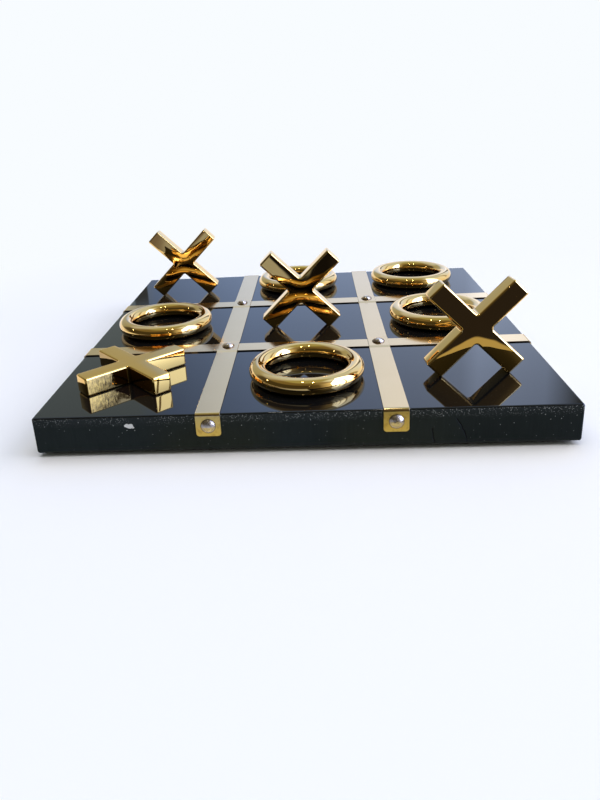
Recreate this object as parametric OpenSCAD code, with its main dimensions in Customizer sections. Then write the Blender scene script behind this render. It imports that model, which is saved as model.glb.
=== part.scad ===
// Tic-tac-toe board: a lacquered slab with four nailed metal straps, four crosses and five rings.
// The origin is on the table under the middle of the board, +Z is up and the front edge faces -Y.

/* [Board] */
// Side of the square board
board_side = 304.8; // [240:0.1:400]
// Thickness of the board
board_t = 22.5; // [18:0.1:30]
// Rounding along the board's top edges
top_ease = 1.2; // [0.4:0.1:2.5]
// Rounding along the board's bottom edges
bottom_ease = 2; // [0.4:0.1:3]
// Rounding of the board's four upright corners
corner_ease = 1.2; // [0.4:0.1:3]

/* [Straps] */
// Width of every strap
strap_w = 14; // [10:0.1:20]
// Thickness of the strap metal
strap_t = 0.8; // [0.5:0.05:1.2]
// How much further apart a pair of straps is than a third of the board
middle_extra = 2.4; // [0:0.1:8]
// How far the two cross straps sit behind the middle of the board
cross_set_back = 3.4; // [0:0.1:6]
// Height of the tab folded down at each strap end, from the strap's top
tab_h = 14; // [12.5:0.1:17]
// Rounding of a tab's lower corners
tab_corner_r = 1.8; // [0.5:0.1:4]
// Length over which a long strap steps up onto a cross strap
joggle_run = 3; // [1.5:0.1:6]
// Gap beside a cross strap where the long strap starts its step
joggle_gap = 0.4; // [0.1:0.1:1]

/* [Nails] */
// Diameter of a nail's domed head
nail_head_d = 8.5; // [6:0.1:11]
// Height of the dome above its rim
nail_dome_h = 1.9; // [1:0.1:3]
// Height of the upright rim under the dome
nail_rim_h = 0.4; // [0.2:0.05:0.8]
// Diameter of a nail's shank
nail_shank_d = 1.8; // [1.2:0.1:3]
// Length of a nail under its head
nail_l = 13; // [9:0.5:18]
// Depth of an edge nail's centre below the board's top face
nail_drop = 7; // [5.5:0.1:8]
// Radial room of a shank in a strap's punched hole
strap_hole_gap = 0.25; // [0.1:0.05:0.6]
// Radial room of a shank in the board
board_hole_gap = 0.05; // [0.02:0.01:0.2]

/* [Feet] */
// Diameter of a soft foot
foot_d = 18; // [12:0.5:30]
// Height of a soft foot
foot_h = 2.2; // [1.5:0.1:6]
// Rounding of a foot's lower edge
foot_ease = 0.5; // [0.2:0.1:1]
// Distance of a foot's centre from the board's edges
foot_inset = 26; // [20:0.5:60]

/* [Crosses] */
// Length of one bar of a cross, tip to tip
cross_l = 70.4; // [50:0.1:90]
// Width of a bar, seen from the front
cross_w = 12.6; // [8:0.1:18]
// Thickness of a cross, front to back
cross_t = 11.7; // [8:0.1:16]
// Rounding of a cross's edges
cross_ease = 1.3; // [0.3:0.1:2]
// Radius of the blend where two bars meet
crotch_r = 1.6; // [0.6:0.1:5]

/* [Rings] */
// Outer diameter of a ring
ring_d = 71.1; // [50:0.1:88]
// Thickness of a ring's round bar
ring_bar_d = 10.9; // [6:0.1:16]

/* [Layout] */
// Height of the air gap drawn between a playing piece and the board
rest_gap = 0.05; // [0.02:0.01:0.2]
// Turn of each standing cross: back left, centre, front right
standing_turns = [2.4, 2.4, 4.1];
// Turn of the lying cross
lying_turn = -2; // [-20:0.5:20]

/* [Hidden] */
$fn = 64;

LACQUER = [0.08, 0.09, 0.10];
SATIN_BRASS = [0.78, 0.72, 0.60];
NICKEL = [0.80, 0.80, 0.78];
GOLD = [0.83, 0.66, 0.33];
SOFT_BLACK = [0.12, 0.12, 0.12];

OVERCUT = 1;
half_side = board_side / 2;
board_top = foot_h + board_t;
strap_pitch = board_side / 3 + middle_extra;
strap_centres = [-strap_pitch / 2, strap_pitch / 2];
cross_strap_centres = [for (c = strap_centres) c + cross_set_back];
hole_d = nail_shank_d + 2 * board_hole_gap;
strap_hole_d = nail_shank_d + 2 * strap_hole_gap;

// A standing cross rests on two eased arm corners, so its centre is a little under half its span
diagonal = sqrt(0.5);
cross_span = (cross_l + cross_w) * diagonal - 2 * cross_ease * (sqrt(2) - 1);

// Cells between the straps: columns from left to right, rows from front to back
columns = cells(strap_centres);
rows = cells(cross_strap_centres);
LEFT = 0;
MIDDLE = 1;
RIGHT = 2;
FRONT = 0;
BACK = 2;

function cells(centres) = [
    [-half_side, centres[0] - strap_w / 2],
    [centres[0] + strap_w / 2, centres[1] - strap_w / 2],
    [centres[1] + strap_w / 2, half_side]
];

// Middle of a cell, moved by a share of the free room beside a piece of the given size
function seat(cell, size, share) =
    (cell[0] + cell[1]) / 2 + share * (cell[1] - cell[0] - size) / 2;

// Eases a step from 0 to 1 with level ends
function smooth(t) = t * t * (3 - 2 * t);

// Rectangle with eased corners, its top edge on the X axis and centred on Y
module eased_rect(w, h, r_top, r_bottom) {
    translate([-w / 2, r_bottom - h]) square([w, h - r_top - r_bottom]);
    translate([r_top - w / 2, -h / 2]) square([w - 2 * r_top, h / 2]);
    translate([r_bottom - w / 2, -h]) square([w - 2 * r_bottom, h / 2]);
    for (s = [-1, 1]) {
        translate([s * (w / 2 - r_top), -r_top]) circle(r = r_top);
        translate([s * (w / 2 - r_bottom), r_bottom - h]) circle(r = r_bottom);
    }
}

// Stands a profile up and runs it along Y, centred
module along_y(length) {
    rotate([90, 0, 0]) linear_extrude(length, center = true) children();
}

// Box with all edges eased by the same radius, centred
module eased_box(x, y, z, r) {
    intersection() {
        translate([0, 0, z / 2]) along_y(y) eased_rect(x, z, r, r);
        translate([0, 0, z / 2]) rotate(90) along_y(x) eased_rect(y, z, r, r);
        translate([0, 0, -z / 2]) linear_extrude(z) translate([0, y / 2]) eased_rect(x, y, r, r);
    }
}

// The slab alone, with its top face at Z = 0
module slab() {
    intersection() {
        along_y(board_side) eased_rect(board_side, board_t, top_ease, bottom_ease);
        rotate(90) along_y(board_side) eased_rect(board_side, board_t, top_ease, bottom_ease);
        translate([0, 0, -board_t]) linear_extrude(board_t) translate([0, half_side])
            eased_rect(board_side, board_side, corner_ease, corner_ease);
    }
}

// Puts its children at each crossing of the straps
module at_crossings() {
    for (x = strap_centres, y = cross_strap_centres) translate([x, y, 0]) children();
}

// Puts its children at each strap end, with Z pointing out of the board's edge
module at_strap_ends() {
    for (x = strap_centres, s = [-1, 1])
        translate([x, s * half_side, -nail_drop]) rotate([-s * 90, 0, 0]) children();
    for (y = cross_strap_centres, s = [-1, 1])
        translate([s * half_side, y, -nail_drop]) rotate([0, s * 90, 0]) children();
}

module board() {
    color(LACQUER) translate([0, 0, board_top]) difference() {
        slab();
        at_crossings() translate([0, 0, -nail_l]) cylinder(d = hole_d, h = nail_l + OVERCUT);
        at_strap_ends() translate([0, 0, -nail_l]) cylinder(d = hole_d, h = nail_l + OVERCUT);
    }
}

// Height of a long strap's underside at a distance from the middle of a cross strap
function step_height(d) =
    strap_t * smooth(min(1, max(0, (strap_w / 2 + joggle_gap + joggle_run - d) / joggle_run)));

// Side profile of a strap: a band over the board's outline, stepped over the given strap centres
module strap_profile(steps) {
    STEP_CUTS = 6;
    flat_end = half_side - top_ease;
    near = strap_w / 2 + joggle_gap;
    offsets = [for (i = [0:STEP_CUTS]) near + joggle_run * i / STEP_CUTS];
    cuts = concat(
        [-flat_end],
        [for (c = steps) each concat(
            [for (i = [STEP_CUTS:-1:0]) c - offsets[i]],
            [for (o = offsets) c + o]
        )],
        [flat_end]
    );
    heights = [for (y = cuts) max([for (c = concat(steps, [2 * board_side])) step_height(abs(y - c))])];
    last = len(cuts) - 1;
    polygon(concat(
        [for (i = [0:last]) [cuts[i], heights[i]]],
        [for (i = [last:-1:0]) [cuts[i], heights[i] + strap_t]]
    ));
    for (s = [-1, 1]) {
        intersection() {
            translate([s * flat_end, -top_ease]) difference() {
                circle(r = top_ease + strap_t);
                circle(r = top_ease);
            }
            translate([s > 0 ? flat_end : -half_side - strap_t, -top_ease])
                square(top_ease + strap_t);
        }
        translate([s > 0 ? half_side : -half_side - strap_t, strap_t - tab_h])
            square([strap_t, tab_h - strap_t - top_ease]);
    }
}

// A strap that runs along Y, with its tabs' lower corners rounded and its nail holes punched
module strap(steps, nailed) {
    difference() {
        intersection() {
            rotate([90, 0, 90]) linear_extrude(strap_w, center = true) strap_profile(steps);
            translate([0, 0, strap_t + OVERCUT + strap_t])
                along_y(board_side + 2 * strap_t + 2 * OVERCUT)
                eased_rect(strap_w, tab_h + OVERCUT + strap_t, OVERCUT / 2, tab_corner_r);
        }
        for (y = nailed) translate([0, y, -OVERCUT]) cylinder(d = strap_hole_d, h = 4 * OVERCUT);
        for (s = [-1, 1]) translate([0, s * half_side, -nail_drop]) rotate([90, 0, 0])
            cylinder(d = strap_hole_d, h = 4 * OVERCUT, center = true);
    }
}

module long_strap(x) {
    color(SATIN_BRASS) translate([x, 0, board_top]) strap(cross_strap_centres, cross_strap_centres);
}

module cross_strap(y) {
    color(SATIN_BRASS) translate([0, y, board_top]) rotate(-90) strap([], strap_centres);
}

module strap_left() { long_strap(strap_centres[0]); }
module strap_right() { long_strap(strap_centres[1]); }
module cross_strap_front() { cross_strap(cross_strap_centres[0]); }
module cross_strap_back() { cross_strap(cross_strap_centres[1]); }

// Domed nail, its head's flat underside at Z = 0 and its shank down -Z
module nail() {
    head_r = nail_head_d / 2;
    dome_r = (head_r * head_r + nail_dome_h * nail_dome_h) / (2 * nail_dome_h);
    point_l = 1.5 * nail_shank_d;
    tip_d = 0.3 * nail_shank_d;
    rotate_extrude() {
        square([head_r, nail_rim_h]);
        translate([0, nail_rim_h]) intersection() {
            translate([0, nail_dome_h - dome_r]) circle(r = dome_r, $fn = 180);
            square([head_r, nail_dome_h]);
        }
    }
    translate([0, 0, point_l - nail_l]) cylinder(d = nail_shank_d, h = nail_l - point_l);
    translate([0, 0, -nail_l]) cylinder(d1 = tip_d, d2 = nail_shank_d, h = point_l);
}

module strap_end_nails() {
    color(NICKEL) translate([0, 0, board_top]) at_strap_ends() translate([0, 0, strap_t]) nail();
}

module crossing_nails() {
    color(NICKEL) translate([0, 0, board_top]) at_crossings() translate([0, 0, 2 * strap_t]) nail();
}

// Soft foot under one corner of the board
module foot(side_x, side_y) {
    place = half_side - foot_inset;
    color(SOFT_BLACK) translate([side_x * place, side_y * place, 0]) rotate_extrude() {
        translate([0, foot_ease]) square([foot_d / 2, foot_h - foot_ease]);
        square([foot_d / 2 - foot_ease, foot_ease]);
        translate([foot_d / 2 - foot_ease, foot_ease]) circle(r = foot_ease);
    }
}

module foot_front_left() { foot(-1, -1); }
module foot_front_right() { foot(1, -1); }
module foot_back_left() { foot(-1, 1); }
module foot_back_right() { foot(1, 1); }

// Blend in one corner between two bars: solid outside an upright cylinder, with eased edges
module crotch_blend() {
    reach = crotch_r + cross_ease;
    centre = cross_w / 2 + crotch_r;
    intersection() {
        translate([centre, centre, 0]) rotate_extrude()
            translate([crotch_r + reach, cross_t / 2])
            eased_rect(2 * reach, cross_t, cross_ease, cross_ease);
        translate([centre - reach, centre - reach, -cross_t / 2]) cube([reach, reach, cross_t]);
    }
}

// A cross lying flat with its bars along X and Y, centred
module cross_casting() {
    eased_box(cross_l, cross_w, cross_t, cross_ease);
    eased_box(cross_w, cross_l, cross_t, cross_ease);
    for (quarter = [0:3]) rotate(90 * quarter) crotch_blend();
}

// A cross on two feet in a cell, turned a little about the upright
module standing_cross(column, row, share, turn) {
    x = seat(columns[column], cross_span, share[0]);
    y = seat(rows[row], cross_t, share[1]);
    color(GOLD) translate([x, y, board_top + rest_gap + cross_span / 2])
        rotate(turn) rotate([90, 0, 0]) rotate(45) cross_casting();
}

// A cross lying flat in a cell
module lying_cross(column, row, share, turn) {
    x = seat(columns[column], cross_span, share[0]);
    y = seat(rows[row], cross_span, share[1]);
    color(GOLD) translate([x, y, board_top + rest_gap + cross_t / 2]) rotate(45 + turn) cross_casting();
}

module cross_back_left() { standing_cross(LEFT, BACK, [-0.05, -0.22], standing_turns[0]); }
module cross_centre() { standing_cross(MIDDLE, MIDDLE, [-0.07, -0.21], standing_turns[1]); }
module cross_front_right() { standing_cross(RIGHT, FRONT, [-0.12, 0.01], standing_turns[2]); }
module cross_front_left() { lying_cross(LEFT, FRONT, [-0.06, 0.37], lying_turn); }

// A ring lying flat in a cell
module ring(column, row, share) {
    x = seat(columns[column], ring_d, share[0]);
    y = seat(rows[row], ring_d, share[1]);
    color(GOLD) translate([x, y, board_top + rest_gap + ring_bar_d / 2])
        rotate_extrude($fn = 96) translate([(ring_d - ring_bar_d) / 2, 0]) circle(d = ring_bar_d);
}

module ring_back_centre() { ring(MIDDLE, BACK, [-0.62, 0.49]); }
module ring_back_right() { ring(RIGHT, BACK, [-0.83, 0.62]); }
module ring_middle_left() { ring(LEFT, MIDDLE, [-0.02, -0.15]); }
module ring_middle_right() { ring(RIGHT, MIDDLE, [-0.44, -0.12]); }
module ring_front_centre() { ring(MIDDLE, FRONT, [0.32, 0.19]); }

board();
strap_left();
strap_right();
cross_strap_front();
cross_strap_back();
strap_end_nails();
crossing_nails();
foot_front_left();
foot_front_right();
foot_back_left();
foot_back_right();
cross_back_left();
cross_centre();
cross_front_left();
cross_front_right();
ring_back_centre();
ring_back_right();
ring_middle_left();
ring_middle_right();
ring_front_centre();
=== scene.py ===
"""Looks of the tic-tac-toe board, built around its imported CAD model. Lengths are in metres."""

import math
import random

import bpy
from mathutils import Euler, Matrix, Vector


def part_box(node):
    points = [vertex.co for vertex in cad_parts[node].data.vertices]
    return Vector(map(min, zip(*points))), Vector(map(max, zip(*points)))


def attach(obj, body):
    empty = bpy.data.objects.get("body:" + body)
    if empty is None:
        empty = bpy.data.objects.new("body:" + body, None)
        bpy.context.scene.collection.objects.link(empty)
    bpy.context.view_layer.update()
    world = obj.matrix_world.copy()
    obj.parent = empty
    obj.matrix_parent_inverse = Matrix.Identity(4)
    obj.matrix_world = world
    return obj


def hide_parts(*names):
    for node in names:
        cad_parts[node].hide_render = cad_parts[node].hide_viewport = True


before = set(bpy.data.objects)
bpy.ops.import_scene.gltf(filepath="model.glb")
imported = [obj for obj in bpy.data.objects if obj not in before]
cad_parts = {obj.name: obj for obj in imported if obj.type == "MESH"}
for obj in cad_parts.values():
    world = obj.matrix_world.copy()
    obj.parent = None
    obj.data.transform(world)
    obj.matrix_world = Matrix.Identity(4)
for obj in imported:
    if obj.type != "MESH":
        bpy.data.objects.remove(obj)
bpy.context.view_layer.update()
MM = 0.001

# Sizes that the boxes of the CAD nodes don't give, as in the CAD source
TOP_EASE = 1.2 * MM
BOTTOM_EASE = 2.0 * MM
CORNER_EASE = 1.2 * MM
STRAP_W = 14.0 * MM
STRAP_T = 0.8 * MM
TAB_CORNER = 1.8 * MM
JOGGLE_GAP = 0.4 * MM
JOGGLE_START = STRAP_W / 2 + JOGGLE_GAP
JOGGLE_RUN = 3.0 * MM
NAIL_HEAD_R = 4.25 * MM
NAIL_DOME_H = 1.9 * MM
NAIL_RIM_H = 0.4 * MM
NAIL_SHANK_R = 0.9 * MM
NAIL_TIP_R = 0.3 * NAIL_SHANK_R
NAIL_POINT_L = 3 * NAIL_SHANK_R
NAIL_L = 13.0 * MM
NAIL_DROP = 7.0 * MM
CROSS_L = 70.4 * MM
CROSS_W = 12.6 * MM
CROSS_T = 11.7 * MM
CROSS_EASE = 1.3 * MM
CROTCH_R = 1.6 * MM

# Turns of the crosses about Z in degrees. At 0 the lying cross's bars lie along X and Y
STANDING_TURNS = {"cross_back_left": 2.4, "cross_centre": 2.4, "cross_front_right": 4.1}
LYING_TURN = 43.0

# Small roundings that the CAD pieces don't have
STRAP_EDGE = 0.14 * MM
NAIL_LIP = 0.35 * MM

LYING_CROSS = "cross_front_left"
STRAPS = ["strap_left", "strap_right"]
CROSS_STRAPS = ["cross_strap_front", "cross_strap_back"]
RINGS = [
    "ring_back_centre",
    "ring_back_right",
    "ring_middle_left",
    "ring_middle_right",
    "ring_front_centre",
]
FEET = ["foot_front_left", "foot_front_right", "foot_back_left", "foot_back_right"]

OWN_PLACE = "own_place"
ORIGIN = Vector((0, 0, 0))
X_AXIS = Vector((1, 0, 0))
Y_AXIS = Vector((0, 1, 0))
Z_AXIS = Vector((0, 0, 1))


# Node trees

class Graph:
    """A node tree with one short call for each kind of node that is used here."""

    def __init__(self, owner):
        owner.use_nodes = True
        self.tree = owner.node_tree
        self.tree.nodes.clear()

    def node(self, kind, **settings):
        made = self.tree.nodes.new("ShaderNode" + kind)
        for name, value in settings.items():
            setattr(made, name, value)
        return made

    def put(self, socket, value):
        """Links the socket to another one, or sets its value."""
        if isinstance(value, bpy.types.NodeSocket):
            self.tree.links.new(value, socket)
        elif value is not None:
            socket.default_value = value

    def math(self, operation, a, b=None):
        made = self.node("Math", operation=operation)
        self.put(made.inputs[0], a)
        self.put(made.inputs[1], b)
        return made.outputs[0]

    def total(self, first, *others):
        for other in others:
            first = self.math("ADD", first, other)
        return first

    def times(self, first, *others):
        for other in others:
            first = self.math("MULTIPLY", first, other)
        return first

    def smooth(self, value, start, end):
        """0 before start, 1 after end and a soft step between them."""
        made = self.node("MapRange", interpolation_type="SMOOTHSTEP")
        low, high = sorted((start, end))
        self.put(made.inputs["Value"], value)
        made.inputs["From Min"].default_value = low
        made.inputs["From Max"].default_value = high
        made.inputs["To Min"].default_value = 0.0 if start < end else 1.0
        made.inputs["To Max"].default_value = 1.0 if start < end else 0.0
        return made.outputs["Result"]

    def span(self, value, low, high):
        """Spreads 0 to 1 over low to high."""
        return self.math("ADD", self.math("MULTIPLY", value, high - low), low)

    def mix(self, share, a, b):
        made = self.node("Mix", data_type="RGBA")
        self.put(made.inputs["Factor"], share)
        self.put(made.inputs["A"], rgba(a))
        self.put(made.inputs["B"], rgba(b))
        return made.outputs["Result"]

    def place(self):
        return self.node("TexCoord").outputs["Object"]

    def own_place(self):
        """Place on a piece in the piece's own axes, from its middle."""
        return self.node("Attribute", attribute_name=OWN_PLACE).outputs["Vector"]

    def axes(self, vector):
        made = self.node("SeparateXYZ")
        self.put(made.inputs[0], vector)
        return made.outputs[0], made.outputs[1], made.outputs[2]

    def stretch(self, vector, scale):
        made = self.node("Mapping")
        self.put(made.inputs["Vector"], vector)
        made.inputs["Scale"].default_value = scale
        return made.outputs["Vector"]

    def noise(self, vector, size, detail=2.0, distortion=0.0):
        """Noise from 0 to 1 whose features are about size across."""
        made = self.node("TexNoise")
        self.put(made.inputs["Vector"], vector)
        made.inputs["Scale"].default_value = 1 / size
        made.inputs["Detail"].default_value = detail
        made.inputs["Distortion"].default_value = distortion
        return made.outputs[0]

    def dots(self, vector, spacing, radius):
        """Round specks, one in each cell about spacing across, 1 inside and 0 outside."""
        made = self.node("TexVoronoi")
        self.put(made.inputs["Vector"], vector)
        made.inputs["Scale"].default_value = 1 / spacing
        return self.smooth(made.outputs["Distance"], 1.15 * radius / spacing, 0.75 * radius / spacing)

    def ramp(self, value, stops):
        made = self.node("ValToRGB")
        self.put(made.inputs[0], value)
        elements = made.color_ramp.elements
        elements.remove(elements[-1])
        elements[0].position = stops[0][0]
        elements[0].color = rgba(stops[0][1])
        for place, colour in stops[1:]:
            elements.new(place).color = rgba(colour)
        return made.outputs["Color"]

    def bump(self, height):
        """Turns a height in metres into a normal."""
        made = self.node("Bump")
        made.inputs["Strength"].default_value = 1.0
        made.inputs["Distance"].default_value = 1.0
        self.put(made.inputs["Height"], height)
        return made.outputs["Normal"]

    def surface(self, **sockets):
        """The main shader. An underscore in a name stands for a space."""
        made = self.node("BsdfPrincipled")
        for name, value in sockets.items():
            self.put(made.inputs[name.replace("_", " ")], value)
        self.output("OutputMaterial", made.outputs[0])

    def output(self, kind, shader):
        made = self.node(kind)
        self.put(made.inputs["Surface"], shader)


def rgba(colour):
    """A grey or an RGB colour with alpha, and a socket as it is."""
    if isinstance(colour, bpy.types.NodeSocket):
        return colour
    if isinstance(colour, (int, float)):
        colour = (colour, colour, colour)
    return (*colour, 1.0)


def new_material(name):
    material = bpy.data.materials.new(name)
    return material, Graph(material)


# Materials

# Colours. Where a name holds two, the surface runs from the first to the second
GOLD = ((0.94, 0.57, 0.155), (0.965, 0.605, 0.180))
BARE_GOLD = ((0.94, 0.55, 0.130), (0.965, 0.585, 0.150))
GOLD_PIT = (0.30, 0.17, 0.05)
ROUGH_GOLD = (0.20, 0.13, 0.05)
BRASS = ((0.89, 0.61, 0.295), (0.95, 0.665, 0.345))
TAB_BRASS = ((0.84, 0.62, 0.24), (0.55, 0.33, 0.12))
# Painted shade along a strap's edges
STRAP_EDGE_SHADE = (0.06, 0.05, 0.035)
NICKEL = ((0.96, 0.80, 0.66), (0.52, 0.41, 0.32))
# Painted shade round a nail head's rim, where it sits on the strap
RIM_SHADE = (0.10, 0.08, 0.06)
BLACK_LACQUER = (0.0035, 0.004, 0.005)
LACQUER_DUST = (0.55, 0.57, 0.60)
EDGE_PAINT = ((0.0080, 0.0125, 0.0110), (0.0140, 0.0205, 0.0185))
EDGE_BAND = (0.026, 0.031, 0.032)
EDGE_DUST = (0.40, 0.42, 0.42)
EDGE_SPECK = (0.46, 0.48, 0.47)
CRACK_BLACK = (0.002, 0.002, 0.002)
CHIP_WHITE = (0.74, 0.75, 0.76)
RUBBER = ((0.014, 0.014, 0.015), (0.030, 0.030, 0.031))

# Weight of the clear lacquer over the plating. Only the lying cross has none, and shows bare gold
LACQUERED = 0.6

# Polishing leaves the faces of a casting a little crowned: the fall is this times the distance
# from a bar's middle line squared, and the faces stay flatter near the crossing
CROWN = 5.8
CROSSING_R = 6.0 * MM

# How far the polished faces of a standing cross lean back, as a slope
LEANS = {"cross_back_left": 0.0, "cross_centre": 0.010, "cross_front_right": 0.010}

# Soft bounds of the rough patch on the lying cross, in its own axes: by X at both ends along its
# left arm, by Y so that the next arm stays smooth, and by the height over or under the middle
GRAIN_ENDS = ((-35.0 * MM, -33.4 * MM), (-5 * MM, -7 * MM))
GRAIN_SIDE = (-9 * MM, -7 * MM)
GRAIN_HEIGHT = (5.5 * MM, 4.7 * MM)


def crown_height(g, place):
    """Height of a cross's crowned faces, in its own axes with the bars along X and Y."""
    xx, yy, zz = [g.times(axis, axis) for axis in g.axes(place)]
    across = g.math("DIVIDE", g.times(xx, yy), g.total(xx, yy, CROSSING_R ** 2))
    return g.times(g.total(across, zz), -CROWN)


def casting_grain(g, place):
    """1 in the rough streaks that the lying cross shows on the side of its left arm."""
    x, y, z = g.axes(place)
    streaks = g.noise(g.stretch(place, (1.0, 1.0, 0.25)), 0.8 * MM, 3.0, 0.4)
    clouds = g.noise(place, 7 * MM, 2.0)
    # The dark patch grows towards the crossing and towards the top
    inward = g.times(g.total(x, g.times(z, 0.5)), 1 / (32 * MM))
    rough = g.smooth(g.total(g.times(streaks, 1.4), g.times(clouds, 0.7), inward), -0.15, 0.65)
    on_side = g.times(g.smooth(g.math("ABSOLUTE", z), *GRAIN_HEIGHT), g.smooth(y, *GRAIN_SIDE))
    on_arm = g.times(*[g.smooth(x, *end) for end in GRAIN_ENDS])
    return g.times(rough, on_side, on_arm)


def gold_material(name, tones=GOLD, lacquer=LACQUERED, crowned=False, lean=0.0, grained=False):
    """Polished gold plating under clear lacquer, with faint waves, smudges and pits."""
    material, g = new_material(name)
    place = g.own_place()
    smudge = g.noise(place, 9 * MM, 3.0, 0.6)
    tone = g.noise(place, 26 * MM, 2.0)
    pits = g.dots(place, 4.3 * MM, 0.11 * MM)
    colour = g.mix(tone, *tones)
    colour = g.mix(g.times(pits, 0.55), colour, GOLD_PIT)
    roughness = g.span(g.smooth(smudge, 0.52, 0.74), 0.020, 0.045)
    height = g.times(g.noise(place, 17 * MM, 1.0), 0.12 * MM)
    if crowned:
        height = g.total(height, crown_height(g, place))
    if lean:
        x, y, _ = g.axes(place)
        height = g.total(height, g.times(g.total(x, y), -lean / math.sqrt(2)))
    if grained:
        grain = casting_grain(g, place)
        colour = g.mix(g.times(grain, 0.85), colour, ROUGH_GOLD)
        height = g.total(height, g.times(grain, 0.012 * MM))
    normal = g.bump(height)
    g.surface(
        Base_Color=colour,
        Metallic=1.0,
        Roughness=roughness,
        Normal=normal,
        Coat_Weight=lacquer,
        Coat_Roughness=0.02,
        Coat_Normal=normal,
    )
    return material


def strap_material(board_top):
    """Brushed brass strip with rolling marks, rubbed patches, painted shade along its edges and
    tarnished tabs.
    """
    material, g = new_material("satin_brass")
    place = g.place()
    marks = g.noise(place, 0.9 * MM, 4.0)
    rubbed = g.noise(place, 31 * MM, 3.0, 0.4)
    colour = g.mix(rubbed, *BRASS)
    on_tab = g.smooth(g.axes(place)[2], board_top - 0.6 * MM, board_top - 1.4 * MM)
    tarnish = g.smooth(g.noise(place, 2.4 * MM, 3.0, 0.6), 0.50, 0.68)
    colour = g.mix(on_tab, colour, g.mix(g.times(tarnish, 0.5), *TAB_BRASS))
    across = g.math("ABSOLUTE", g.axes(g.own_place())[0])
    # Painted shade along the strap's edges, left off the tabs
    painted_edge_shade = g.smooth(across, STRAP_W / 2 - 0.12 * MM, STRAP_W / 2 - 0.04 * MM)
    painted_edge_shade = g.times(painted_edge_shade, g.math("SUBTRACT", 1.0, on_tab), 0.85)
    colour = g.mix(painted_edge_shade, colour, STRAP_EDGE_SHADE)
    roughness = g.total(g.span(rubbed, 0.10, 0.14), g.span(marks, -0.02, 0.02), g.times(on_tab, 0.20))
    g.surface(
        Base_Color=colour,
        Metallic=1.0,
        Roughness=roughness,
        Normal=g.bump(g.times(marks, 0.006 * MM)),
    )
    return material


def nail_material(name, dent=0.16 * MM, roundness=0.0):
    """Nickel-plated nail head, scratched, dented by the hammer, with painted shade round its rim.

    Roundness spreads the dome's normals, as on a higher dome.
    """
    material, g = new_material(name)
    place = g.place()
    x, y, _ = g.axes(g.own_place())
    from_middle = g.total(g.times(x, x), g.times(y, y))
    # Painted shade round the rim
    painted_rim_shade = g.smooth(from_middle, (3.75 * MM) ** 2, (4.15 * MM) ** 2)
    dents = g.noise(place, 2.6 * MM, 2.0, 0.8)
    scratches = g.noise(g.stretch(place, (1.0, 6.0, 2.0)), 1.3 * MM, 5.0, 1.6)
    specks = g.noise(place, 0.7 * MM, 3.0, 0.5)
    worn = g.smooth(g.total(scratches, g.times(specks, 0.5)), 0.70, 0.84)
    height = g.total(g.times(dents, dent), g.times(scratches, 0.05 * MM), g.times(specks, 0.05 * MM))
    if roundness:
        height = g.total(height, g.times(from_middle, -roundness))
    g.surface(
        Base_Color=g.mix(g.times(painted_rim_shade, 0.8), g.mix(worn, *NICKEL), RIM_SHADE),
        Metallic=1.0,
        Roughness=g.span(worn, 0.18, 0.42),
        Normal=g.bump(height),
    )
    return material


def lacquer_material():
    """Gloss black lacquer with a faint orange peel and a little dust."""
    material, g = new_material("black_lacquer")
    place = g.place()
    peel = g.noise(place, 6 * MM, 2.0)
    haze = g.noise(place, 42 * MM, 3.0)
    dust = g.times(g.dots(place, 17 * MM, 0.22 * MM), g.smooth(g.noise(place, 60 * MM), 0.42, 0.60))
    g.surface(
        Base_Color=g.mix(dust, BLACK_LACQUER, LACQUER_DUST),
        Roughness=g.total(g.span(haze, 0.015, 0.035), g.times(dust, 0.4)),
        IOR=1.5,
        Normal=g.bump(g.times(peel, 0.0012 * MM)),
    )
    return material


# Blemishes of the front edge, by X and by the depth under the board's top face: the chip's
# middle and half size, and the cracks' upper and lower ends and how far they bend
CHIP = (-96.6 * MM, 6.3 * MM, 3.1 * MM, 1.7 * MM)
CRACKS = [
    ((84.1 * MM, 6.0 * MM), (90.6 * MM, 20.6 * MM), 0.6),
    ((71.6 * MM, 11.7 * MM), (73.2 * MM, 21.5 * MM), -0.6),
]


def chip_mask(g, x, depth, wander):
    """1 inside the chipped spot of the front edge, with a ragged outline."""
    chip_x, chip_depth, half_w, half_h = CHIP
    across = g.times(g.total(x, -chip_x), 1 / half_w)
    down = g.times(g.total(depth, -chip_depth), 1 / half_h)
    slant = g.total(down, g.times(across, -0.35))
    round_off = g.math("SQRT", g.total(g.math("POWER", across, 2.0), g.math("POWER", slant, 2.0)))
    return g.smooth(g.total(round_off, g.times(g.total(wander, -0.5), 2.4)), 1.0, 0.8)


def crack_mask(g, x, depth, wander, crack):
    """1 on a thin bent line between two points of the front edge."""
    (x_top, depth_top), (x_low, depth_low), bend = crack
    along = g.times(g.total(depth, -depth_top), 1 / (depth_low - depth_top))
    bent = g.times(along, g.span(along, 1 + bend, 1.0))
    line_x = g.span(bent, x_top, x_low)
    shake = g.times(g.total(wander, -0.5), 1.6 * MM)
    off = g.math("ABSOLUTE", g.total(x, g.times(line_x, -1.0), shake))
    inside = g.times(g.smooth(along, -0.02, 0.06), g.smooth(along, 1.02, 0.94))
    return g.times(g.smooth(off, 0.55 * MM, 0.25 * MM), inside)


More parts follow.
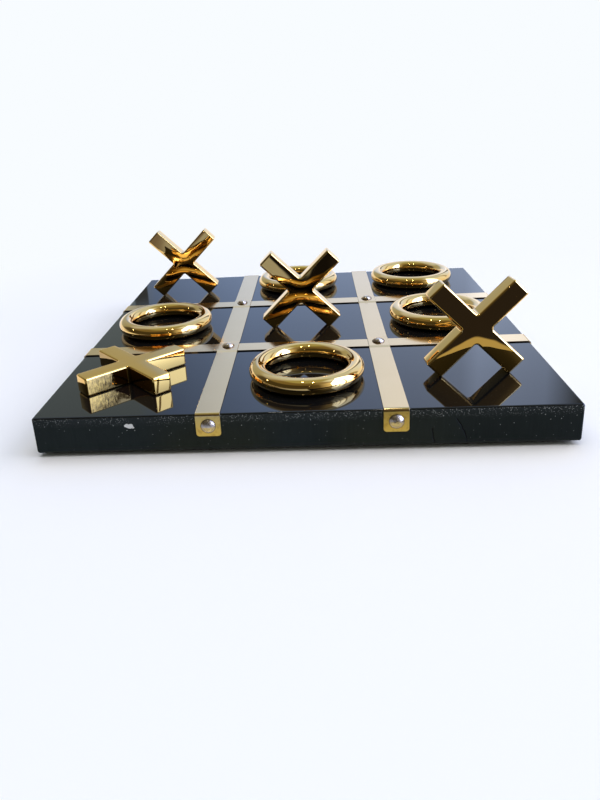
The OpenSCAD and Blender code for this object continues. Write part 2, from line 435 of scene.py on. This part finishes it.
def edge_material(board_top, half_side):
    """Dull black paint on the edges, with brush marks, dust under the arris, a chip and cracks."""
    material, g = new_material("edge_paint")
    place = g.place()
    x, y, z = g.axes(place)
    depth = g.math("SUBTRACT", board_top, z)
    on_front = g.smooth(y, -half_side + 0.6 * MM, -half_side + 0.2 * MM)
    brushed = g.noise(g.stretch(place, (1.0, 1.0, 0.10)), 1.1 * MM, 3.0)
    cloud = g.noise(place, 24 * MM, 3.0)
    grain = g.noise(place, 0.8 * MM, 2.0)
    wander = g.noise(place, 2.2 * MM, 3.0)
    band = g.smooth(g.total(depth, g.times(cloud, 5 * MM)), 9.6 * MM, 3.6 * MM)
    dusty = g.times(g.dots(place, 0.85 * MM, 0.21 * MM), band, g.smooth(cloud, 0.34, 0.56))
    high = g.span(g.smooth(depth, 15 * MM, 6 * MM), 0.35, 1.0)
    specks = g.times(g.dots(place, 2.7 * MM, 0.24 * MM), g.smooth(grain, 0.34, 0.56), high)
    chip = g.times(chip_mask(g, x, depth, wander), on_front)
    cracks = [g.times(crack_mask(g, x, depth, wander, line), on_front) for line in CRACKS]
    crack = g.total(*cracks)
    colour = g.mix(g.times(band, 0.45), g.mix(brushed, *EDGE_PAINT), EDGE_BAND)
    colour = g.mix(g.times(dusty, 0.9), colour, EDGE_DUST)
    colour = g.mix(specks, colour, EDGE_SPECK)
    colour = g.mix(crack, colour, CRACK_BLACK)
    colour = g.mix(chip, colour, CHIP_WHITE)
    height = g.total(
        g.times(brushed, 0.05 * MM),
        g.times(grain, 0.02 * MM),
        g.times(chip, -0.18 * MM),
        g.times(crack, -0.35 * MM),
    )
    g.surface(
        Base_Color=colour,
        Roughness=g.span(cloud, 0.44, 0.62),
        Specular_IOR_Level=0.16,
        Normal=g.bump(height),
    )
    return material


def rubber_material():
    """Soft black foot with a fine grain."""
    material, g = new_material("soft_rubber")
    place = g.place()
    grain = g.noise(place, 0.7 * MM, 4.0)
    cloud = g.noise(place, 8 * MM, 2.0)
    g.surface(
        Base_Color=g.mix(cloud, *RUBBER),
        Roughness=g.span(grain, 0.62, 0.86),
        Normal=g.bump(g.times(grain, 0.05 * MM)),
    )
    return material


# Meshes. A loop is a list of (point, normal) pairs, and neighbouring loops are joined by faces

# Three corners of a face that span less than this, in square metres, give it no direction
LEAST_AREA = 1e-14


def face_outward(face, points, normals):
    """The face, turned over if it points against its vertices' normals."""
    a, b, c = (points[i] for i in face[:3])
    turn = (b - a).cross(c - a)
    if turn.length < LEAST_AREA and len(face) > 3:
        turn = (c - a).cross(points[face[3]] - a)
    wanted = sum((normals[i] for i in face), Vector())
    return face if turn.dot(wanted) > 0 else face[::-1]


class Mesh:
    """Collects vertices with exact normals, and faces with a material number each."""

    def __init__(self):
        self.points = []
        self.own_points = []
        self.normals = []
        self.faces = []
        self.numbers = []

    def add_loop(self, loop, matrix=None):
        start = len(self.points)
        for point, normal in loop:
            point, normal = Vector(point), Vector(normal)
            self.own_points.append(point)
            if matrix is not None:
                point = matrix @ point
                normal = matrix.to_3x3() @ normal
            self.points.append(point)
            self.normals.append(normal.normalized())
        return list(range(start, len(self.points)))

    def add_face(self, face, number=0):
        self.faces.append(face_outward(face, self.points, self.normals))
        self.numbers.append(number)

    def join(self, one, other, number=0):
        for i in range(len(one)):
            j = (i + 1) % len(one)
            self.add_face([one[i], one[j], other[j], other[i]], number)

    def loft(self, loops, matrix=None, ends=False, around=False, number=0):
        """Skins closed loops, fills the two ends, or runs around back to the first loop."""
        rows = [self.add_loop(loop, matrix) for loop in loops]
        for one, other in zip(rows, rows[1:]):
            self.join(one, other, number)
        if around:
            self.join(rows[-1], rows[0], number)
        if ends:
            self.add_face(rows[0], number)
            self.add_face(rows[-1], number)
        return rows

    def make(self, name, materials):
        mesh = bpy.data.meshes.new(name)
        mesh.from_pydata(self.points, [], self.faces)
        for material in materials:
            mesh.materials.append(material)
        mesh.polygons.foreach_set("material_index", self.numbers)
        mesh.shade_smooth()
        mesh.normals_split_custom_set_from_vertices(self.normals)
        own_place = mesh.attributes.new(OWN_PLACE, "FLOAT_VECTOR", "POINT")
        own_place.data.foreach_set("vector", [value for point in self.own_points for value in point])
        made = bpy.data.objects.new(name, mesh)
        bpy.context.scene.collection.objects.link(made)
        return made


def corner_arc(x, y, radius, start, end, side, steps):
    """Corner of an outline: centre, radius, angles in degrees, and 1 if convex or -1 if hollow."""
    angles = [math.radians(start + (end - start) * i / steps) for i in range(steps + 1)]
    return {"centre": (x, y), "radius": radius, "angles": angles, "side": side}


def rounded_rectangle(low, high, radius, steps):
    """Corners of a rectangle between two (x, y) points."""
    near_x, near_y = low[0] + radius, low[1] + radius
    far_x, far_y = high[0] - radius, high[1] - radius
    centres = [(far_x, far_y), (near_x, far_y), (near_x, near_y), (far_x, near_y)]
    return [
        corner_arc(x, y, radius, 90 * i, 90 * i + 90, 1, steps)
        for i, (x, y) in enumerate(centres)
    ]


def directions(count):
    """Level unit vectors, evenly all round."""
    angles = [2 * math.pi * i / count for i in range(count)]
    return [Vector((math.cos(angle), math.sin(angle), 0)) for angle in angles]


def outline_points(corners, inset):
    """Points and normals of an outline that is moved inward by inset."""
    least = 0.05 * MM
    made = []
    for corner in corners:
        (x, y), side = corner["centre"], corner["side"]
        radius = corner["radius"] - side * inset
        if radius < least:
            middle = (corner["angles"][0] + corner["angles"][-1]) / 2
            shift = (least - radius) * math.sqrt(2)
            x, y = x - shift * math.cos(middle), y - shift * math.sin(middle)
            radius = least
        for angle in corner["angles"]:
            across, up = math.cos(angle), math.sin(angle)
            made.append(((x + radius * across, y + radius * up), (side * across, side * up)))
    return made


def eased_loops(corners, low, high, low_ease, high_ease, steps):
    """Loops over an outline's upright sides, from the top face round both eases to the bottom."""
    stations = []
    for i in range(steps + 1):
        stations.append((high - high_ease, high_ease, math.radians(90 - 90 * i / steps)))
    for i in range(steps + 1):
        stations.append((low + low_ease, low_ease, math.radians(-90 * i / steps)))
    loops = []
    for z, ease, tilt in stations:
        out_n, up_n = math.cos(tilt), math.sin(tilt)
        loops.append([
            ((x, y, z + ease * up_n), (nx * out_n, ny * out_n, up_n))
            for (x, y), (nx, ny) in outline_points(corners, ease * (1 - out_n))
        ])
    return loops


def board_mesh(low, high, materials):
    """The slab: material 0 on its top face and the top ease, material 1 on the rest."""
    steps, least_rise = 8, 0.30
    corners = rounded_rectangle(low, high, CORNER_EASE, steps)
    made = Mesh()
    loops = eased_loops(corners, low.z, high.z, BOTTOM_EASE, TOP_EASE, steps)
    rows = made.loft(loops, number=1)
    made.add_face(rows[0], 0)
    made.add_face(rows[-1], 1)
    for index, face in enumerate(made.faces):
        if all(made.normals[v].z > least_rise for v in face):
            made.numbers[index] = 0
    return made.make("board_slab", materials)


def cross_outline():
    """Outline of a cross with its bars along X and Y."""
    steps, quarter = 6, 90
    half_l, half_w = CROSS_L / 2, CROSS_W / 2
    tip, side = half_l - CROSS_EASE, half_w - CROSS_EASE
    hollow = half_w + CROTCH_R
    arm = [
        ((tip, -side), CROSS_EASE, 270, 360, 1),
        ((tip, side), CROSS_EASE, 0, 90, 1),
        ((hollow, hollow), CROTCH_R, 270, 180, -1),
    ]
    corners = []
    for turn in range(0, 360, quarter):
        turned = Matrix.Rotation(math.radians(turn), 2)
        for centre, radius, start, end, side_sign in arm:
            x, y = turned @ Vector(centre)
            corners.append(corner_arc(x, y, radius, start + turn, end + turn, side_sign, steps))
    return corners


def cross_mesh(name, matrix, material):
    steps = 8
    loops = eased_loops(cross_outline(), -CROSS_T / 2, CROSS_T / 2, CROSS_EASE, CROSS_EASE, steps)
    made = Mesh()
    made.loft(loops, matrix, ends=True)
    return made.make(name, [material])


def ring_mesh(name, low, high, material):
    """A round bar run around in a circle, sized from its box."""
    turns, sides = 168, 64
    bar_r = (high.z - low.z) / 2
    middle_r = (high.x - low.x) / 2 - bar_r
    loops = []
    for out in directions(turns):
        normals = [out * side.x + Z_AXIS * side.y for side in directions(sides)]
        loops.append([(out * middle_r + normal * bar_r, normal) for normal in normals])
    made = Mesh()
    made.loft(loops, Matrix.Translation((low + high) / 2), around=True)
    return made.make(name, [material])


def step_rise(distance):
    """How far a long strap is lifted at a distance from the middle of a cross strap."""
    share = min(1.0, max(0.0, (JOGGLE_START + JOGGLE_RUN - distance) / JOGGLE_RUN))
    return STRAP_T * share * share * (3 - 2 * share)


def strap_stations(half_side, tab_end, steps_at):
    """Stations of a strap's inner face from tab end to tab end: (along, height, tilt of normal)."""
    parts, beside = 10, 0.01 * MM
    flat_end = half_side - TOP_EASE
    left = [
        (-half_side, -TOP_EASE - share * (tab_end - TOP_EASE), math.pi)
        for share in tab_shares(tab_end)
    ]
    for i in range(1, parts):
        tilt = math.pi - math.pi / 2 * i / parts
        left.append((-flat_end + TOP_EASE * math.cos(tilt), TOP_EASE * (math.sin(tilt) - 1), tilt))
    offsets = [JOGGLE_START + JOGGLE_RUN * i / parts for i in range(parts + 1)]
    places = [-flat_end, flat_end]
    places += [step + side * offset for step in steps_at for offset in offsets for side in (-1, 1)]
    flat = []
    for place in sorted(places):
        rise = rise_at(place, steps_at)
        slope = (rise_at(place + beside, steps_at) - rise_at(place - beside, steps_at)) / (2 * beside)
        flat.append((place, rise, math.pi / 2 + math.atan(slope)))
    right = [(-along, height, math.pi - tilt) for along, height, tilt in reversed(left)]
    return left + flat + right


def rise_at(place, steps_at):
    return max([step_rise(abs(place - step)) for step in steps_at], default=0.0)


def tab_shares(tab_end):
    """Places down a tab as shares of its straight length, close together at its rounded corners."""
    straight, parts = tab_end - TOP_EASE, 10
    angles = [math.radians(90 * i / parts) for i in range(parts + 1)]
    curved = [1 - TAB_CORNER * (1 - math.cos(angle)) / straight for angle in angles]
    return curved + [0.5, 0.0]


def strap_section(half_w):
    """Loop across a strap: (offset across, height over the inner face, normal across, normal up)."""
    steps = 3
    corners = rounded_rectangle((-half_w, 0.0), (half_w, STRAP_T), STRAP_EDGE, steps)
    return outline_points(corners, 0.0)


def strap_mesh(name, matrix, half_side, tab_h, steps_at, material):
    """A strap along Y in its own space, with its inner face at Z = 0."""
    tab_end = tab_h - STRAP_T
    loops = []
    for along, height, tilt in strap_stations(half_side, tab_end, steps_at):
        from_end = min(TAB_CORNER, max(0.0, tab_end + height))
        bend = math.acos(min(1.0, (TAB_CORNER - from_end) / TAB_CORNER))
        half_w = STRAP_W / 2 - TAB_CORNER * (1 - math.sin(bend))
        out = Y_AXIS * math.cos(tilt) + Z_AXIS * math.sin(tilt)
        inner = Y_AXIS * along + Z_AXIS * height
        loop = []
        for (across, up), (side_n, up_n) in strap_section(half_w):
            side = X_AXIS * side_n * math.sin(bend) - Z_AXIS * abs(side_n) * math.cos(bend)
            loop.append((inner + X_AXIS * across + out * up, side + out * up_n))
        loops.append(loop)
    made = Mesh()
    made.loft(loops, matrix)
    for loop in (loops[0], loops[-1]):
        made.add_face(made.add_loop([(point, -Z_AXIS) for point, _ in loop], matrix))
    return made.make(name, [material])


def nail_runs():
    """Smooth runs of a nail's profile: (radius, height, radial normal, upward normal)."""
    dome_r = (NAIL_HEAD_R ** 2 + NAIL_DOME_H ** 2) / (2 * NAIL_DOME_H)
    dome_steps, lip_steps = 14, 6
    centre_z = NAIL_RIM_H + NAIL_DOME_H - dome_r
    meet = math.asin((NAIL_HEAD_R - NAIL_LIP) / (dome_r - NAIL_LIP))
    lip_z = centre_z + (dome_r - NAIL_LIP) * math.cos(meet)
    head = []
    for i in range(1, dome_steps + 1):
        out_n, up_n = math.sin(meet * i / dome_steps), math.cos(meet * i / dome_steps)
        head.append((dome_r * out_n, centre_z + dome_r * up_n, out_n, up_n))
    for i in range(1, lip_steps + 1):
        tilt = meet + (math.pi / 2 - meet) * i / lip_steps
        out_n, up_n = math.sin(tilt), math.cos(tilt)
        head.append((NAIL_HEAD_R - NAIL_LIP + NAIL_LIP * out_n, lip_z + NAIL_LIP * up_n, out_n, up_n))
    head.append((NAIL_HEAD_R, 0.0, 1.0, 0.0))
    under = [(NAIL_HEAD_R, 0.0, 0.0, -1.0), (NAIL_SHANK_R, 0.0, 0.0, -1.0)]
    point_top = NAIL_POINT_L - NAIL_L
    shank = [(NAIL_SHANK_R, 0.0, 1.0, 0.0), (NAIL_SHANK_R, point_top, 1.0, 0.0)]
    slant = (NAIL_POINT_L, NAIL_TIP_R - NAIL_SHANK_R)
    point = [(NAIL_SHANK_R, point_top, *slant), (NAIL_TIP_R, -NAIL_L, *slant)]
    tip = [(NAIL_TIP_R, -NAIL_L, 0.0, -1.0)]
    return [head, under, shank, point, tip]


def add_nail(made, matrix):
    """Turns the profile about Z, and closes it with the dome's top and the flat tip."""
    turns = 40
    rows = []
    for run in nail_runs():
        loops = [
            [(out * radius + Z_AXIS * z, out * out_n + Z_AXIS * up_n) for out in directions(turns)]
            for radius, z, out_n, up_n in run
        ]
        rows += made.loft(loops, matrix)
    top = made.add_loop([(Z_AXIS * (NAIL_RIM_H + NAIL_DOME_H), Z_AXIS)], matrix)[0]
    for i in range(turns):
        made.add_face([top, rows[0][i], rows[0][(i + 1) % turns]])
    made.add_face(rows[-1])


def nails_mesh(name, places, material):
    """Nails at places given as (point under the head, outward axis), turned by chance."""
    chance = random.Random(7)
    made = Mesh()
    for point, axis in places:
        turn = axis.to_track_quat("Z", "Y").to_matrix().to_4x4()
        spin = Matrix.Rotation(chance.uniform(0, 2 * math.pi), 4, "Z")
        add_nail(made, Matrix.Translation(point) @ turn @ spin)
    return made.make(name, [material])


# The object

def show(piece, body, nodes):
    """The piece rides on a body and stands for the CAD nodes."""
    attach(piece, body)
    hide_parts(*nodes)


def middle(node):
    low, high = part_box(node)
    return (low + high) / 2


def build_board():
    low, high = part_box("board")
    materials = [lacquer_material(), edge_material(high.z, high.x)]
    show(board_mesh(low, high, materials), "board", ["board"])
    rubber = rubber_material()
    for node in FEET:
        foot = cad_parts[node]
        foot.data.materials.clear()
        foot.data.materials.append(rubber)


def build_straps():
    _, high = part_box("board")
    material = strap_material(high.z)
    crosswise = Matrix.Rotation(math.radians(-90), 4, "Z")
    crossings = [middle(node).y for node in CROSS_STRAPS]
    placed = [(node, Matrix.Translation((middle(node).x, 0, high.z)), crossings) for node in STRAPS]
    for node in CROSS_STRAPS:
        placed.append((node, Matrix.Translation((0, middle(node).y, high.z)) @ crosswise, []))
    for node, place, steps_at in placed:
        tab_h = high.z + STRAP_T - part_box(node)[0].z
        piece = strap_mesh(node + "_band", place, high.x, tab_h, steps_at, material)
        show(piece, "board", [node])


def build_nails():
    _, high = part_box("board")
    columns = [middle(node).x for node in STRAPS]
    rows = [middle(node).y for node in CROSS_STRAPS]
    crossings = [(Vector((x, y, high.z + 2 * STRAP_T)), Z_AXIS) for x in columns for y in rows]
    reach, drop = high.x + STRAP_T, high.z - NAIL_DROP
    ends = [(Vector((x, s * reach, drop)), Y_AXIS * s) for x in columns for s in (-1, 1)]
    ends += [(Vector((s * reach, y, drop)), X_AXIS * s) for y in rows for s in (-1, 1)]
    end_nickel = nail_material("end_nickel")
    top_nickel = nail_material("top_nickel", dent=0.30 * MM, roundness=70.0)
    show(nails_mesh("end_nails", ends, end_nickel), "board", ["strap_end_nails"])
    show(nails_mesh("top_nails", crossings, top_nickel), "board", ["crossing_nails"])


def build_cross(node, turn, stance, material):
    """A cross at its node's middle, in a stance, turned about Z by an angle in degrees."""
    place = Matrix.Translation(middle(node)) @ Matrix.Rotation(math.radians(turn), 4, "Z") @ stance
    show(cross_mesh(node + "_casting", place, material), node, [node])


def build_pieces():
    lying_gold = gold_material("lying_gold", BARE_GOLD, lacquer=0.0, crowned=True, grained=True)
    ring_gold = gold_material("ring_gold")
    upright = Matrix.Rotation(math.radians(90), 4, "X") @ Matrix.Rotation(math.radians(45), 4, "Z")
    for node, turn in STANDING_TURNS.items():
        gold = gold_material(node + "_gold", crowned=True, lean=LEANS[node])
        build_cross(node, turn, upright, gold)
    build_cross(LYING_CROSS, LYING_TURN, Matrix.Identity(4), lying_gold)
    for node in RINGS:
        show(ring_mesh(node + "_casting", *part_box(node), ring_gold), node, [node])


# The stage

BACKDROP = (0.939, 0.973, 1.0)

# Tints of the light in the room
DUSK = (1.0, 0.9, 0.5)
WARM_GREY = (1.0, 1.0, 0.85)
COOL_GREY = (1.0, 1.15, 1.1)
DAYLIGHT = (1.0, 1.2, 1.65)
SKY_BLUE = (1.0, 1.33, 2.05)

# Parts of the room: compass angle, which is 0 straight behind the board and grows to the right,
# tint and brightness. Each part blends into the next one
WALLS = [
    (-180, DUSK, 0.05),
    (-97, DUSK, 0.06),
    (-68, WARM_GREY, 0.08),
    (-55, COOL_GREY, 0.35),
    (-16, COOL_GREY, 0.40),
    (-14.6, SKY_BLUE, 0.35),
    (-6, SKY_BLUE, 0.60),
    (12.5, DAYLIGHT, 0.85),
    (14, DAYLIGHT, 1.15),
    (20.3, DAYLIGHT, 0.90),
    (22, WARM_GREY, 0.14),
    (27, WARM_GREY, 0.14),
    (29, SKY_BLUE, 0.75),
    (57, DAYLIGHT, 0.80),
    (60, WARM_GREY, 0.40),
    (66, WARM_GREY, 0.35),
    (69, DAYLIGHT, 0.95),
    (132, WARM_GREY, 0.80),
    (155, DUSK, 0.12),
]
UPPER_WALLS = [
    (-180, DUSK, 0.15),
    (-90, DUSK, 0.20),
    (-60, DAYLIGHT, 0.45),
    (-15, SKY_BLUE, 0.60),
    (65, SKY_BLUE, 0.55),
    (110, SKY_BLUE, 0.80),
    (130, WARM_GREY, 0.35),
    (160, DUSK, 0.17),
]
CEILING = (0.36, 0.41, 0.27)
UPPER_STARTS = (34, 46)
CEILING_STARTS = (62, 74)
BRIGHTEST = 2.0

# A dark post in the room: its edges by compass angle, and its top by height angle
POST = (0.11, 0.11, 0.10)
POST_EDGES = (-15.85, -14.8)
POST_BLUR = 0.1
POST_TOP = (17.5, 15)

# The pale backdrop as the polished faces mirror it, by the same angles
BACKDROP_LEFT = (-97, -60)
BACKDROP_RIGHT = (150, 110)
BACKDROP_TOP = (13, 8)


def background(g, colour, strength=1.0):
    made = g.node("Background")
    g.put(made.inputs["Color"], colour)
    made.inputs["Strength"].default_value = strength
    return made.outputs[0]


def walls_ramp(g, turn, parts):
    """Colour of the walls at a turn from 0 to 1, and the last part meets the first one."""
    stops = [
        ((angle + 180) / 360, [share * bright / BRIGHTEST for share in tint])
        for angle, tint, bright in parts
    ]
    stops.append((1.0, stops[0][1]))
    return g.ramp(turn, stops)


def backdrop_rays(g):
    """1 for what the camera sees, and 1 for what polished and clear faces show."""
    rays = g.node("LightPath").outputs
    mirrored = g.math("MAXIMUM", rays["Is Glossy Ray"], rays["Is Transmission Ray"])
    return rays["Is Camera Ray"], mirrored


def blend(g, share, one, other):
    made = g.node("MixShader")
    g.put(made.inputs[0], share)
    g.put(made.inputs[1], one)
    g.put(made.inputs[2], other)
    return made.outputs[0]


def by_angle(g, turn, angles):
    """A soft step over two compass angles."""
    return g.smooth(turn, *[(angle + 180) / 360 for angle in angles])


def by_height(g, z, angles):
    """A soft step over two height angles."""
    return g.smooth(z, *[math.sin(math.radians(angle)) for angle in angles])


def build_room(g, turn, z):
    """Walls and ceiling, with a dark post behind the board's left side."""
    room = background(g, walls_ramp(g, turn, WALLS), BRIGHTEST)
    upper = background(g, walls_ramp(g, turn, UPPER_WALLS), BRIGHTEST)
    room = blend(g, by_height(g, z, UPPER_STARTS), room, upper)
    room = blend(g, by_height(g, z, CEILING_STARTS), room, background(g, rgba(CEILING)))
    left, right = POST_EDGES
    post = g.times(
        by_angle(g, turn, (left - POST_BLUR, left)),
        by_angle(g, turn, (right + POST_BLUR, right)),
        by_height(g, z, POST_TOP),
    )
    return blend(g, post, room, background(g, rgba(POST)))


def build_world():
    """A pale backdrop, and above it and in front the room that the polished pieces mirror."""
    world = bpy.data.worlds.new("room")
    bpy.context.scene.world = world
    g = Graph(world)
    x, y, z = g.axes(g.node("TexCoord").outputs["Generated"])
    turn = g.total(g.times(g.math("ARCTAN2", x, y), 1 / (2 * math.pi)), 0.5)
    behind = g.times(by_angle(g, turn, BACKDROP_LEFT), by_angle(g, turn, BACKDROP_RIGHT))
    low = by_height(g, z, BACKDROP_TOP)
    seen, mirrored = backdrop_rays(g)
    backdrop = g.math("MAXIMUM", seen, g.times(mirrored, behind, low))
    g.output("OutputWorld", blend(g, backdrop, build_room(g, turn, z), background(g, rgba(BACKDROP))))


def flat_sheet(name, x_range, y_range, z, material):
    (x0, x1), (y0, y1) = x_range, y_range
    mesh = bpy.data.meshes.new(name)
    mesh.from_pydata([(x0, y0, z), (x1, y0, z), (x1, y1, z), (x0, y1, z)], [], [(0, 1, 2, 3)])
    mesh.materials.append(material)
    made = bpy.data.objects.new(name, mesh)
    bpy.context.scene.collection.objects.link(made)
    return made


# The floor's half side and paint, and where it fades into the backdrop by distance from the middle
FLOOR_REACH = 6
FLOOR_PAINT = (0.880, 0.888, 0.930)
FLOOR_FADE = (0.21, 0.52)


def build_floor():
    """Pale floor that takes the object's shadow and turns into the backdrop further out."""
    material, g = new_material("pale_floor")
    place = g.place()
    x, y, _ = g.axes(place)
    out = g.math("SQRT", g.total(g.math("POWER", x, 2.0), g.math("POWER", y, 2.0)))
    far = g.times(g.smooth(out, *FLOOR_FADE), g.math("MAXIMUM", *backdrop_rays(g)))
    paint = g.node("BsdfDiffuse")
    paint.inputs["Color"].default_value = rgba(FLOOR_PAINT)
    glow = g.node("Emission")
    glow.inputs["Color"].default_value = rgba(BACKDROP)
    g.output("OutputMaterial", blend(g, far, paint.outputs[0], glow.outputs[0]))
    flat_sheet("floor", (-FLOOR_REACH, FLOOR_REACH), (-FLOOR_REACH, FLOOR_REACH), 0.0, material)


# What lies in front of the board, painted as the light that a glowing sheet sends to the polished
# faces:
# painted reflections of a dark stretch with a pale sheet on its left, a warm strip, and painted warm
# light close to the two front tabs
SHEET = (0.34, 0.42, 0.60)
SHEET_PAINTED_SHADE = (0.16, 0.16, 0.21)
WARM_STRIP = (0.44, 0.42, 0.27)
TAB_GLOW = (0.60, 0.55, 0.26)
DARK_FRONT = (0.007, 0.007, 0.010)
DARK_FRONT_RIGHT = (0.021, 0.020, 0.026)

# Their soft edges by X, by Y and, for the glow, by the distance from a tab's middle
DARK_FRONT_X = (0.05, 0.10)
SHEET_X = (0.018, 0.002)
SHEET_PAINTED_SHADE_X = (-0.150, -0.195)
STRIP_X = (0.02, 0.12)
STRIP_FRONT_Y = (-0.242, -0.233)
STRIP_BACK_Y = (-0.185, -0.195)
GLOW_BESIDE = (0.042, 0.022)
GLOW_Y = (-0.205, -0.180)

# The glowing sheet's two parts: their ranges of X and of Y, and their height
NEAR_GLOW_SHEET = ((-0.9, 0.9), (-1.4, -0.156))
FAR_GLOW_SHEET = ((-6, 6), (-6, -1.4))
GLOW_SHEET_Z = 0.5 * MM


def build_front_glow_sheet():
    """The glowing sheet in front of the board that only reflections see, painted with the light and
    shade that the crosses show there.
    """
    material, g = new_material("front_glow_sheet")
    x, y, _ = g.axes(g.place())
    weave = g.noise(g.place(), 19 * MM, 3.0)
    sheet = g.mix(weave, [0.86 * c for c in SHEET], [1.14 * c for c in SHEET])
    dark = g.mix(g.smooth(x, *DARK_FRONT_X), DARK_FRONT, DARK_FRONT_RIGHT)
    colour = g.mix(g.smooth(x, *SHEET_X), dark, sheet)
    # Painted shade at the pale sheet's far left
    colour = g.mix(g.smooth(x, *SHEET_PAINTED_SHADE_X), colour, SHEET_PAINTED_SHADE)
    strip = g.times(g.smooth(y, *STRIP_FRONT_Y), g.smooth(y, *STRIP_BACK_Y), g.smooth(x, *STRIP_X))
    colour = g.mix(strip, colour, WARM_STRIP)
    for node in STRAPS:
        beside = g.math("ABSOLUTE", g.total(x, -middle(node).x))
        glowing = g.times(g.smooth(beside, *GLOW_BESIDE), g.smooth(y, *GLOW_Y))
        colour = g.mix(glowing, colour, TAB_GLOW)
    glow = g.node("Emission")
    g.put(glow.inputs["Color"], colour)
    g.output("OutputMaterial", glow.outputs[0])
    near = flat_sheet("front_glow_sheet", *NEAR_GLOW_SHEET, GLOW_SHEET_Z, material)
    far = flat_sheet("front_glow_sheet_far", *FAR_GLOW_SHEET, GLOW_SHEET_Z, material)
    for glow_sheet in (near, far):
        glow_sheet.visible_camera = False
        glow_sheet.visible_diffuse = False
        glow_sheet.visible_transmission = False
        glow_sheet.visible_shadow = False


def area_lamp(name, place, aim, size, radiance, colour, lights=True, mirrored=True):
    """A flat lamp of the given size and brightness that faces a point."""
    light = bpy.data.lights.new(name, "AREA")
    light.shape = "RECTANGLE"
    light.size, light.size_y = size
    light.energy = math.pi * size[0] * size[1] * radiance
    light.color = colour
    lamp = bpy.data.objects.new(name, light)
    lamp.location = place
    lamp.rotation_euler = (Vector(aim) - Vector(place)).to_track_quat("-Z", "Y").to_euler()
    lamp.visible_camera = False
    lamp.visible_diffuse = lights
    lamp.visible_glossy = mirrored
    bpy.context.scene.collection.objects.link(lamp)


# The window: compass angle of its wall, distance, reach along the wall, height, bars and panes
WINDOW_TURN = math.radians(58)
WINDOW_DISTANCE = 0.45
WINDOW_STARTS, WINDOW_ENDS = 0.26, 1.86
WINDOW_LOW, WINDOW_HIGH = 0.03, 0.98
WINDOW_BAR = 0.060
WINDOW_PANES = (3.2, 6.5, 7.0, 6.0, 3.8)
WINDOW_COLOUR = (0.71, 1.0, 2.0)


def build_window():
    """A window to the right, with thin bars between its panes, that only reflections see."""
    out = Vector((math.sin(WINDOW_TURN), math.cos(WINDOW_TURN), 0))
    along = Vector((math.cos(WINDOW_TURN), -math.sin(WINDOW_TURN), 0))
    pitch = (WINDOW_ENDS - WINDOW_STARTS) / len(WINDOW_PANES)
    size = (pitch - WINDOW_BAR, WINDOW_HIGH - WINDOW_LOW)
    height = Z_AXIS * (WINDOW_LOW + WINDOW_HIGH) / 2
    for number, radiance in enumerate(WINDOW_PANES):
        place = out * WINDOW_DISTANCE + along * (WINDOW_STARTS + pitch * (number + 0.5)) + height
        area_lamp(f"pane_{number}", place, place - out, size, radiance, WINDOW_COLOUR, lights=False)


# Soft lamps that light the object: place, radiance and colour
SOFT_LAMPS = {
    "side": ((2.2, 0.2, 1.6), 2.5, (1.0, 0.94, 0.90)),
    "overhead": ((-0.2, -0.2, 2.2), 2.2, (1.0, 0.935, 0.89)),
}
SOFT_LAMP_SIZE = (2.0, 2.0)

# Small lamps that show as spots on the gold: their colour, and each one's place, size and radiance
SPOT_COLOUR = (1.0, 0.98, 0.92)
SPOTS = [
    ((-0.06, -0.22, 0.70), 0.024, 50.0),
    ((0.105, -0.32, 0.72), 0.026, 50.0),
    ((0.04, -0.48, 0.225), 0.006, 40.0),
    ((-2.0, -0.14, 1.15), 0.070, 40.0),
]


def build_lamps():
    """The window, soft light from the right and from above, and small spots."""
    build_window()
    for name, (place, radiance, colour) in SOFT_LAMPS.items():
        area_lamp(name, place, ORIGIN, SOFT_LAMP_SIZE, radiance, colour, mirrored=False)
    for number, (place, size, radiance) in enumerate(SPOTS):
        area_lamp(f"spot_{number}", place, ORIGIN, (size, size), radiance, SPOT_COLOUR, lights=False)


# The photograph's camera, solved on the board's corners and pieces. Its size, focal length and
# middle are in pixels of the photograph, and its angles in degrees
PHOTO_W, PHOTO_H = 600, 800
FOCAL_LENGTH = 671.79
PHOTO_MIDDLE = (274.95, 336.29)
CAMERA_PLACE = (10.909 * MM, -486.139 * MM, 187.528 * MM)
CAMERA_ANGLES = (70.484, 3.071, 2.83)
SENSOR = 36.0


def build_camera():
    """Sets that camera up. The sensor's size goes with the picture's longer side, its height."""
    data = bpy.data.cameras.new("camera")
    data.sensor_width = SENSOR
    data.lens = FOCAL_LENGTH / PHOTO_H * SENSOR
    data.shift_x = (PHOTO_W / 2 - PHOTO_MIDDLE[0]) / PHOTO_H
    data.shift_y = (PHOTO_MIDDLE[1] - PHOTO_H / 2) / PHOTO_H
    data.clip_start = 0.01
    data.clip_end = 30.0
    camera = bpy.data.objects.new("camera", data)
    camera.location = CAMERA_PLACE
    camera.rotation_euler = Euler([math.radians(angle) for angle in CAMERA_ANGLES], "XYZ")
    bpy.context.scene.collection.objects.link(camera)
    bpy.context.scene.camera = camera


build_board()
build_straps()
build_nails()
build_pieces()
build_world()
build_floor()
build_front_glow_sheet()
build_lamps()
build_camera()
bpy.context.scene.view_settings.view_transform = "Standard"
